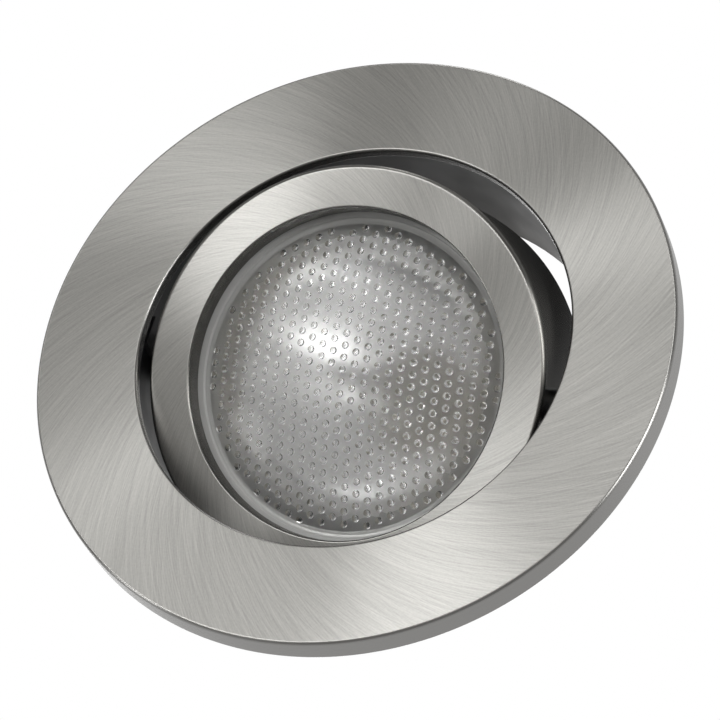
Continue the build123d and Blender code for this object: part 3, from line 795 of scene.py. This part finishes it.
@dataclass
class Trim:
    """The fixed ring, collar, pivot bushes and screws behind the ceiling line. Sizes are in millimetres."""

    edge: float = 0.15
    front_round: float = 0.5
    lip_round: float = 0.4
    lip_r: float = 31.2
    web: float = 1.6
    rim_wall: float = 1.4
    boss_r: float = 2.5
    boss_bore: float = 0.9
    boss_sink: float = 0.2
    boss_edge: float = 0.05
    boss_circle: float = 37.4
    boss_steps: int = 48
    boss_edge_steps: int = 3
    screw_spread: float = 8.0  # a screw's points lie within this many degrees of one another
    steps: int = 360

    def build_ring(self) -> None:
        """Turns the visible ring and stands the screw bosses behind it."""
        low, high = extent("trim_ring", CEILING.matrix())
        rim_r, front = high.x, low.z
        web = front + self.web
        corners = (
            (self.lip_r, front, self.lip_round),
            (rim_r, front, self.front_round),
            (rim_r, 0.0, self.edge),
            (rim_r - self.rim_wall, 0.0, self.edge),
            (rim_r - self.rim_wall, web, self.edge),
            (self.lip_r, web, self.edge),
        )
        points, faces = lathe(rounded(corners), self.steps)
        sunk = web - self.boss_sink
        corners = (
            (self.boss_bore, sunk, self.boss_edge),
            (self.boss_r, sunk, self.boss_edge),
            (self.boss_r, high.z, self.edge),
            (self.boss_bore, high.z, self.boss_edge),
        )
        boss, sides = lathe(rounded(corners, self.boss_edge_steps), self.boss_steps)
        for angle in map(math.radians, self.screw_angles()):
            middle = Vector((math.cos(angle), math.sin(angle), 0)) * self.boss_circle
            shift = len(points)
            points += [p + middle for p in boss]
            faces += [tuple(i + shift for i in f) for f in sides]
        ring = show("trim_ring_turned", points, faces, TRIM_NICKEL, CEILING.matrix())
        even_out(ring)
        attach(ring, Body.TRIM.value)
        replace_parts(ring, "trim_ring")

    def screw_angles(self) -> list[float]:
        """Finds where the screws stand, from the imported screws' own points.

        Returns:
            The angles of the screws in degrees.
        """
        groups: dict[float, list[float]] = {}
        for v in frame["nodes"]["trim_screws"].data.vertices:
            angle = math.degrees(math.atan2(v.co.y, v.co.x)) % 360
            turns = {first: (angle - first + 180) % 360 - 180 for first in groups}
            near = min(turns, key=lambda first: abs(turns[first]), default=angle)
            if abs(turns.get(near, 360)) > self.screw_spread:
                groups[angle] = [0.0]
            else:
                groups[near].append(turns[near])
        return [first + (min(turns) + max(turns)) / 2 for first, turns in groups.items()]

    def build(self) -> None:
        """Builds and dresses the fixed pieces."""
        body = Body.TRIM.value
        self.build_ring()
        # The collar's near black colour is painted shade for its shaded inside
        ease("collar", COLLAR_PAINT_AND_SHADE, self.edge, body)
        ease("trim_screws", ZINC_PLATE, self.edge, body)
        for side in ("left", "right"):
            ease(f"pivot_bush_{side}", NYLON, self.edge, body)
        for number in (1, 2):
            ease(f"clip_bracket_{number}", ZINC_PLATE, self.edge, body)
            ease(f"clip_axle_{number}", ZINC_PLATE, self.edge, body)


@dataclass
class Clip:
    """A sprung ceiling clip: the arm, its soft sleeve and the torsion spring on the axle.

    Sizes are in millimetres in the clip's frame, which has its origin on the axle: X outwards, Y along it and
    Z up. The sleeve's outline is set in at its tip, its ribs and its root. The pairs give where and how deep:
    from the tip, in shares of a rib, and back from the root.
    """

    number: int
    edge: float = 0.12
    lean: float = 16.04
    wire: float = 0.35
    coil: float = 1.75
    pitch: float = 1.2
    turns: float = 4.0
    anchor: float = 3.1
    leg: float = 8.0
    leg_shares: tuple[float, ...] = (0.1, 0.5, 1.0)
    rib_pitch: float = 0.9
    rib_depth: float = 0.14
    tip: Pairs = ((0.0, 0.55), (0.12, 0.2), (0.35, 0.0))
    rib: Pairs = ((0.2, 0), (0.5, 1), (0.8, 0))
    root: Pairs = ((0.3, 0.0), (0.08, 0.12), (0.0, 0.3))
    corner: float = 0.6
    corner_steps: int = 4
    steps: int = 40
    wire_sides: int = 14

    def place(self) -> Matrix:
        """Gives the clip's frame."""
        joint = JOINTS[f"clip_{self.number}_fold"]
        along = -Vector(joint["axis"])
        out = along.cross(Vector((0, 0, 1)))
        turn = Matrix((out, along, (0, 0, 1))).transposed().to_4x4()
        return Matrix.Translation(joint["pos_m"]) @ turn

    def body(self) -> str:
        """Gives the body that the arm rides on."""
        return f"clip_{self.number}"

    def sweep(self) -> float:
        """Gives the coil's whole turn in degrees."""
        return 360 * self.turns + 90 - self.lean

    def spring_path(self) -> list[Vector]:
        """Works out the middle of the spring's wire.

        Returns:
            Points from the leg in the bracket, round the coil, to the leg on the arm.
        """
        half = self.pitch * self.sweep() / 720
        count = round(self.sweep() / 360 * self.steps)
        path = [Vector((-self.anchor, -half, self.coil)), Vector((-self.anchor / 2, -half, self.coil))]
        for i in range(count + 1):
            share = i / count
            angle = math.radians(90 - self.sweep() * share)
            x, z = self.coil * math.cos(angle), self.coil * math.sin(angle)
            path.append(Vector((x, half * (2 * share - 1), z)))
        lean = math.radians(self.lean)
        down = Vector((math.sin(lean), 0, -math.cos(lean)))
        path += [path[-1] + down * self.leg * share for share in self.leg_shares]
        return path

    def build_spring(self) -> None:
        """Winds the spring from its leg in the bracket, round the coil on the axle, to its leg on the arm."""
        place = self.place()
        points, faces = tube(self.spring_path(), self.wire, self.wire_sides)
        spring = show(f"clip_spring_{self.number}_wound", points, faces, SPRING_STEEL, place)
        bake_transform(spring)
        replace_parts(spring, f"clip_spring_{self.number}")

    def build_sleeve(self) -> None:
        """Models the ribbed soft sleeve on the arm's tip."""
        node = f"clip_pad_{self.number}"
        place = self.place() @ Matrix.Rotation(math.radians(-self.lean), 4, "Y")
        low, high = extent(node, place)
        centre, half = (low + high) / 2, (high - low) / 2
        length = high.z - low.z
        ribs = int((length - 2 * self.corner) / self.rib_pitch)
        stations = [*self.tip]
        for rib in range(ribs):
            start = self.corner + rib * self.rib_pitch
            stations += [(start + self.rib_pitch * s, self.rib_depth * d) for s, d in self.rib]
        stations += [(length - reach, inset) for reach, inset in self.root]
        points = []
        outline = self.rounded_outline(half.x, half.y)
        for reach, inset in stations:
            shrink_x, shrink_y = 1 - inset / half.x, 1 - inset / half.y
            points += [(centre.x + x * shrink_x, centre.y + y * shrink_y, low.z + reach) for x, y in outline]
        faces = bridge(len(stations), len(outline), caps=True)
        sleeve = show(f"{node}_moulded", points, faces, SILICONE, place)
        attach(sleeve, self.body())
        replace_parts(sleeve, node)

    def rounded_outline(self, half_x: float, half_y: float) -> list[tuple[float, float]]:
        """Draws a rectangle with round corners.

        Args:
            half_x: Half its width.
            half_y: Half its length.

        Returns:
            Points round the outline.
        """
        outline = []
        for sx, sy, start in ((1, 1, 0), (-1, 1, 90), (-1, -1, 180), (1, -1, 270)):
            for step in range(self.corner_steps + 1):
                angle = math.radians(start + 90 * step / self.corner_steps)
                x = sx * (half_x - self.corner) + self.corner * math.cos(angle)
                y = sy * (half_y - self.corner) + self.corner * math.sin(angle)
                outline.append((x, y))
        return outline

    def build(self) -> None:
        """Builds the clip's pieces."""
        ease(f"clip_arm_{self.number}", SPRING_STEEL, self.edge, self.body())
        self.build_spring()
        self.build_sleeve()


@dataclass
class Gimbal:
    """The tilting ring, its pivots, and the pieces that seat the lamp in it.

    Sizes are in millimetres in the tilted frame.
    """

    edge: float = 0.12
    front_round: float = 0.6
    bore_round: float = 0.3
    aperture_r: float = 23.2
    draft: float = 0.2
    plate: float = 3.0
    brow: float = 0.7
    brow_height: float = 1.2
    skirt_wall: float = 1.2
    groove_bite: float = 0.45
    groove_height: float = 1.0
    groove_z: float = -5.0
    fine: float = 0.05
    steps: int = 360

    def build_ring(self) -> None:
        """Turns the tilting ring, with its front plate, skirt and circlip groove."""
        low, high = extent("gimbal_ring", TILTED.matrix())
        outer, front, rear = high.x, low.z, high.z
        skirt = outer - self.brow
        bore = skirt - self.skirt_wall
        groove = bore + self.groove_bite
        under = front + self.brow_height
        plate = front + self.plate
        fine = self.fine
        groove_top = self.groove_z + self.groove_height
        corners = (
            (self.aperture_r, front, self.bore_round),
            (outer, front, self.front_round),
            (outer, under, self.edge),
            (skirt, under, self.edge),
            (skirt, rear, self.edge),
            (bore, rear, self.edge),
            (bore, groove_top, fine),
            (groove, groove_top, fine),
            (groove, self.groove_z, fine),
            (bore, self.groove_z, fine),
            (bore, plate, fine),
            (self.aperture_r - self.draft, plate, fine),
        )
        points, faces = lathe(rounded(corners), self.steps)
        seat = TILTED.matrix()
        points = [seat @ (p * MM) / MM for p in points]
        ring = show("gimbal_ring_turned", points, faces, GIMBAL_NICKEL, CEILING.matrix())
        even_out(ring)
        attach(ring, Body.GIMBAL.value)
        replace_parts(ring, "gimbal_ring")

    def build(self) -> None:
        """Builds and dresses the tilting pieces."""
        body = Body.GIMBAL.value
        self.build_ring()
        ease("lamp_seat_ring", ALUMINIUM, self.edge, body)
        ease("lamp_circlip", SPRING_STEEL, self.edge, body)
        for side in ("left", "right"):
            for node in ("pivot_pin", "friction_washer", "pin_retainer"):
                ease(f"{node}_{side}", ZINC_PLATE, self.edge, body)


@dataclass
class Lamp:
    """The reflector lamp: stippled front glass, bowl, capsule, filament, base and pins.

    Sizes are in millimetres in the tilted frame, with +Z back along the lamp.
    """

    rim_r: float = 25.0
    dome_r: float = 22.2
    sphere_r: float = 65.0
    groove: float = 0.3
    wall: float = 1.8
    hollow_r: float = 21.9
    edge: float = 0.15
    stipple_pitch: float = 1.68
    stipple_turn: float = -3.3
    stipple_origin: tuple[float, float] = (-9.47, -4.32)
    stipple_r: float = 0.53
    stipple_h: float = 0.22
    stipple_reach: float = 21.7
    stipple_shares: tuple[float, ...] = (0.0, 0.25, 0.5, 0.72, 0.88, 1.0, 1.1)  # rings of its radius
    stipple_points: tuple[int, ...] = (1, 8, 12, 16, 16, 16, 16)  # the points in each of those rings
    haze_r: float = 19.9
    segments: int = 192
    dome_steps: int = 32
    cement_r: float = 6.95
    cement_gap: float = 0.25
    cement_depth: float = 5.5
    cement_dish: Pairs = ((0.55, 0.45), (0.8, 0.2))  # shares of its radius, dips
    cement_lip: float = 0.15
    cement_sag: float = 0.12
    cement_lobes: tuple[int, int] = (3, 5)
    cement_sides: int = 64
    filament_r: float = 0.5
    filament_wire: float = 0.13
    filament_turns: int = 11
    filament_steps: int = 16
    filament_sides: int = 8
    base_edge: float = 0.3
    pin_edge: float = 0.2

    def lens_heights(self) -> tuple[float, float, float]:
        """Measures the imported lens.

        Returns:
            The heights of its apex, its rim's front and its back.
        """
        low, high = extent("lamp_lens", TILTED.matrix())
        step = low.z + self.sphere_r - math.sqrt(self.sphere_r**2 - self.dome_r**2)
        return low.z, step - self.groove, high.z

    def lens_outline(self) -> list[tuple[float, float]]:
        """Draws the lens's outer outline from the hollow's edge, over the rim and groove, to the apex.

        Returns:
            Pairs of radius and height.
        """
        apex, front, back = self.lens_heights()
        step = front + self.groove
        groove_r = self.dome_r + self.groove
        e = self.edge
        mid = 0.3 * e  # how far the middle of a rounded edge stands off its corner
        outline = [
            (self.hollow_r, back),
            (self.rim_r - e, back),
            (self.rim_r, back - e),
            (self.rim_r, front + e),
            (self.rim_r - e, front),
            (groove_r + e, front),
            (groove_r + mid, front + mid),
            (groove_r, front + e),
            (groove_r, step - e),
            (groove_r - e, step),
            (self.dome_r, step),
        ]
        centre = apex + self.sphere_r
        for i in range(1, self.dome_steps + 1):
            radius = self.dome_r * (1 - i / self.dome_steps)
            outline.append((radius, centre - math.sqrt(self.sphere_r**2 - radius**2)))
        return outline

    def stipples(self) -> list[Vector]:
        """Places the stipples: columns at one pitch, each shifted by half a pitch from the next.

        Returns:
            The middles of the stipples across the lens.
        """
        turn = Matrix.Rotation(math.radians(self.stipple_turn), 2)
        start = Vector(self.stipple_origin)
        reach = math.ceil(2 * self.rim_r / self.stipple_pitch)
        found = []
        for column in range(-reach, reach + 1):
            for row in range(-reach, reach + 1):
                step = Vector((column, row + 0.5 * (column % 2))) * self.stipple_pitch
                spot = start + turn @ step
                if spot.length <= self.stipple_reach - self.stipple_r:
                    found.append(spot)
        return found

    def stippled_face(self) -> tuple[list[tuple[float, float, float]], Faces, list[Zone]]:
        """Models the lens's inner face, with a pressed bump at each stipple.

        Returns:
            Its points and faces, inside the ring of points where it meets the back of the rim, and each
            face's zone.
        """
        apex, _, back = self.lens_heights()
        inner_apex = apex + self.wall
        sag = back - inner_apex
        bend = (self.hollow_r**2 + sag**2) / (2 * sag)
        cap = (self.stipple_r**2 + self.stipple_h**2) / (2 * self.stipple_h)
        flat = [Vector(p) * self.hollow_r for p in circle(self.segments)]
        lift = [0.0] * self.segments
        edges = [(k, (k + 1) % self.segments) for k in range(self.segments)]
        for spot in self.stipples():
            for share, count in zip(self.stipple_shares, self.stipple_points):
                reach = share * self.stipple_r
                height = math.sqrt(cap**2 - min(reach, self.stipple_r) ** 2) - (cap - self.stipple_h)
                first = len(flat)
                flat += [spot + Vector(p) * reach for p in circle(count)]
                lift += [height if share < 1 else 0.0] * count
                if share >= 1:
                    edges += [(first + k, first + (k + 1) % count) for k in range(count)]
        made, _, faces, origins, _, _ = delaunay_2d_cdt(flat, edges, [], KEEP_INSIDE, SNAP)
        points = []
        for spot, origin in zip(made, origins):
            base = inner_apex + bend - math.sqrt(bend**2 - min(spot.length, self.hollow_r) ** 2)
            points.append((spot.x, spot.y, base + lift[origin[0]]))
        zones = []
        for f in faces:
            land = Zone.HAZED if max(made[i].length for i in f) > self.haze_r else Zone.ETCHED
            zones.append(Zone.STIPPLE if any(lift[origins[i][0]] for i in f) else land)
        return points, [tuple(f) for f in faces], zones

    def build_lens(self) -> None:
        """Models the front glass: a turned outer skin joined to the stippled inner face."""
        outline = self.lens_outline()
        count = self.segments
        points = [(r * x, r * y, z) for r, z in outline[:-1] for x, y in circle(count)]
        faces = bridge(len(outline) - 1, count)
        tip = len(points)
        points.append((0.0, 0.0, outline[-1][1]))
        faces += [(tip - count + k, tip - count + (k + 1) % count, tip) for k in range(count)]
        inner_points, inner_faces, inner_zones = self.stippled_face()
        rim_faces = (len(outline) - self.dome_steps) * count
        zones = [Zone.GROUND] * rim_faces + [Zone.CLEAR] * (len(faces) - rim_faces) + inner_zones
        shift = len(points)
        points += inner_points
        faces += [tuple(i + shift for i in f) for f in inner_faces]
        lens = show("lamp_lens_stippled", points, faces, LENS_GLASS, TILTED.matrix(), zones)
        for finish in (GROUND_GLASS, STIPPLE_GLASS, ETCHED_GLASS, HAZED_GLASS):
            lens.data.materials.append(finish.material())
        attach(lens, Body.GIMBAL.value)
        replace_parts(lens, "lamp_lens")

    def build_cement(self) -> None:
        """Fills the neck round the capsule's pinch with cement, which dries to a rough dished face."""
        low, _ = extent("lamp_base", TILTED.matrix())
        front = extent("lamp_filament", TILTED.matrix())[1].z + self.cement_gap
        rim, lip = self.cement_r, self.cement_lip
        rings = [(rim * share, front + dip) for share, dip in self.cement_dish]
        rings += [(rim - lip, front), (rim, front + lip), (rim, low.z + self.cement_depth)]
        few, many = self.cement_lobes
        points = []
        for radius, height in rings:
            for k in range(self.cement_sides):
                angle = math.tau * k / self.cement_sides
                sag = self.cement_sag * math.sin(few * angle + radius) * math.sin(many * angle)
                points.append((radius * math.cos(angle), radius * math.sin(angle), height + max(sag, 0.0)))
        faces = bridge(len(rings), self.cement_sides, caps=True)
        cement = show("lamp_cement", points, faces, CEMENT, TILTED.matrix())
        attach(cement, Body.GIMBAL.value)

    def build_filament(self) -> None:
        """Winds the filament on its two legs."""
        low, high = extent("lamp_filament", TILTED.matrix())
        middle = low.z + self.filament_r
        coil_r = self.filament_r - self.filament_wire
        half = high.x - self.filament_r
        steps = self.filament_turns * self.filament_steps
        path = [Vector((-half, 0, high.z)), Vector((-half, 0, middle + coil_r))]
        for i in range(1, steps):
            angle = math.radians(90) + math.tau * self.filament_turns * i / steps
            x = half * (2 * i / steps - 1)
            path.append(Vector((x, coil_r * math.cos(angle), middle + coil_r * math.sin(angle))))
        path += [Vector((half, 0, middle + coil_r)), Vector((half, 0, high.z))]
        points, faces = tube(path, self.filament_wire, self.filament_sides)
        wound = show("lamp_filament_wound", points, faces, TUNGSTEN, TILTED.matrix())
        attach(wound, Body.GIMBAL.value)
        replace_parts(wound, "lamp_filament")

    def build(self) -> None:
        """Builds and dresses the lamp's pieces."""
        body = Body.GIMBAL.value
        self.build_lens()
        self.build_cement()
        dress("lamp_reflector", MIRROR)
        dress("lamp_capsule", QUARTZ)
        self.build_filament()
        ease("lamp_base", TAN_STEATITE, self.base_edge, body)
        ease("lamp_pins", BRASS, self.pin_edge, body)


@dataclass
class Holder:
    """The twist-on lamp holder: two ceramic halves, contacts and screws."""

    edge: float = 0.3
    screw_edge: float = 0.15

    def build(self) -> None:
        """Dresses the holder's pieces."""
        body = Body.HOLDER.value
        ease("holder_body", STEATITE, self.edge, body)
        ease("holder_cover", STEATITE, self.edge, body)
        ease("holder_screws", ZINC_PLATE, self.screw_edge, body)
        dress("holder_contacts", BRASS)


@dataclass(frozen=True)
class SoftBox:
    """A round soft light that faces the part.

    Attributes:
        name: The light's name.
        place: Where it hangs, in metres.
        radius: Its radius in metres.
        glow: Its brightness, where one is as bright as white paper.
        fade_from: Where it starts to fade towards its edge, as a share of its width.
        peak: How much brighter its middle is, to make up for the faded edge.
    """

    name: str
    place: tuple[float, float, float]
    radius: float
    glow: float
    fade_from: float = 0.25
    peak: float = 1.7

    def build(self) -> None:
        """Hangs the light."""
        light = bpy.data.lights.new(self.name, "AREA")
        light.shape = "DISK"
        light.size = 2 * self.radius
        light.energy = self.glow * math.pi * math.pi * self.radius**2  # in watts: glow, pi and its area
        light.use_nodes = True
        tree = light.node_tree
        tree.nodes.clear()
        spot = add(tree, "NewGeometry").outputs["Parametric"]
        reach = add(tree, "VectorMath", {0: spot, 1: (0.5, 0.5, 0.0)}, operation="DISTANCE")
        span = {"From Min": 0.5, "From Max": self.fade_from, "To Max": self.peak}
        fade = add(tree, "MapRange", {"Value": reach, **span}, interpolation_type="SMOOTHSTEP")
        glow = add(tree, "Emission", {"Strength": fade})
        add(tree, "OutputLight", {"Surface": glow})
        made = hang(self.name, light)
        made.location = self.place
        made.rotation_euler = Vector(self.place).to_track_quat("Z", "Y").to_euler()
        made.visible_camera = False


@dataclass
class Studio:
    """The floor, the white surround, the soft lights and the camera.

    Attributes:
        floor_z: The floor's height in metres, well below the hanging part.
        floor_r: The floor's radius in metres.
        floor_steps: The number of steps round the floor's edge.
        surround: The strength of the surround on dull surfaces.
        azimuth: The camera's bearing in degrees, where 0 looks along +Y.
        elevation: Its angle above the horizon in degrees.
        roll: Its turn about its own axis in degrees.
        distance: From the aim point to the camera, in millimetres.
        aim: The trim ring's centre in the picture is this far left of and above the middle, in millimetres.
        front: The height of the trim ring's front face in millimetres.
        lens: The camera's focal length in millimetres.
        sensor: The width of its sensor in millimetres.
        reach: The nearest and furthest things that it sees, in metres.
        boxes: The soft lights.
    """

    floor_z: float = -1.0
    floor_r: float = 8.0
    floor_steps: int = 128
    surround: float = 0.35
    azimuth: float = 137.913
    elevation: float = -56.191
    roll: float = 150.593
    distance: float = 625.6
    aim: tuple[float, float] = (1.205, 2.303)
    front: float = -4.0
    lens: float = 226.8
    sensor: float = 36.0
    reach: tuple[float, float] = (0.01, 50.0)
    boxes: tuple[SoftBox, ...] = (
        SoftBox("soft_box_key", (0.633, -0.181, -0.614), 0.29, 6.9),
        SoftBox("soft_box_far", (-0.675, 0.39, -0.45), 0.15, 4.4),
        SoftBox("soft_box_side", (-0.228, -0.85, -0.187), 0.15, 3.8),
        SoftBox("soft_box_low", (-0.38, 0.0, -0.816), 0.16, 4.0),
        SoftBox("soft_box_corner", (-0.23, -0.32, -0.81), 0.145, 1.45),
        SoftBox("soft_box_left", (0.0, -0.602, -0.669), 0.15, 1.05),
        SoftBox("soft_box_middle", (0.0, -0.38, -0.816), 0.15, 0.45),
        SoftBox("soft_box_front", (-0.354, 0.487, -0.669), 0.15, 0.2),
        SoftBox("soft_box_back", (-0.5, -0.4, 1.6), 0.6, 3.0),
    )

    def build_surround(self) -> None:
        """Makes the white surround, which lights dull surfaces more softly than it looks."""
        world = bpy.data.worlds.new("studio_surround")
        bpy.context.scene.world = world
        world.use_nodes = True
        tree = world.node_tree
        tree.nodes.clear()
        path = add(tree, "LightPath").outputs
        seen = {0: path["Is Camera Ray"], 1: path["Is Glossy Ray"]}
        seen = add(tree, "Math", seen, operation="MAXIMUM")
        seen = add(tree, "Math", {0: seen, 1: path["Is Transmission Ray"]}, operation="MAXIMUM")
        strength = add(tree, "MapRange", {"Value": seen, "To Min": self.surround, "To Max": 1.0})
        glow = add(tree, "Background", {"Color": linear("#FFFFFF"), "Strength": strength})
        add(tree, "OutputWorld", {"Surface": glow})

    def build_floor(self) -> None:
        """Lays the pale floor."""
        work = bmesh.new()
        bmesh.ops.create_circle(work, cap_ends=True, radius=self.floor_r, segments=self.floor_steps)
        mesh = bpy.data.meshes.new("studio_floor")
        work.to_mesh(mesh)
        work.free()
        mesh.materials.append(FLOOR_PAINT.material())
        floor = hang("studio_floor", mesh)
        floor.location.z = self.floor_z

    def build_camera(self) -> None:
        """Sets the camera at the photographed angle."""
        bearing, rise = math.radians(self.azimuth), math.radians(self.elevation)
        level = math.cos(rise)
        back = Vector((math.sin(bearing) * level, -math.cos(bearing) * level, math.sin(rise)))
        roll = Matrix.Rotation(math.radians(self.roll), 3, "Z")
        turn = (-back).to_track_quat("-Z", "Y").to_matrix() @ roll
        right, up = turn.col[0], turn.col[1]
        aim = Vector((0, 0, self.front)) + right * self.aim[0] - up * self.aim[1]
        camera = bpy.data.cameras.new("photo_camera")
        camera.lens = self.lens
        camera.sensor_width = self.sensor
        camera.clip_start, camera.clip_end = self.reach
        made = hang("photo_camera", camera)
        made.matrix_world = Matrix.Translation((aim + back * self.distance) * MM) @ turn.to_4x4()
        bpy.context.scene.camera = made

    def build(self) -> None:
        """Builds the studio."""
        self.build_surround()
        self.build_floor()
        for box in self.boxes:
            box.build()
        self.build_camera()
        bpy.context.scene.view_settings.view_transform = "Standard"


def main() -> None:
    """Builds the part's looks and the studio."""
    logging.basicConfig(level=logging.INFO, format="%(message)s")
    for assembly in (Trim(), Clip(1), Clip(2), Gimbal(), Lamp(), Holder(), Studio()):
        assembly.build()
        LOG.info("built %s", type(assembly).__name__)


if __name__ == "__main__":
    main()
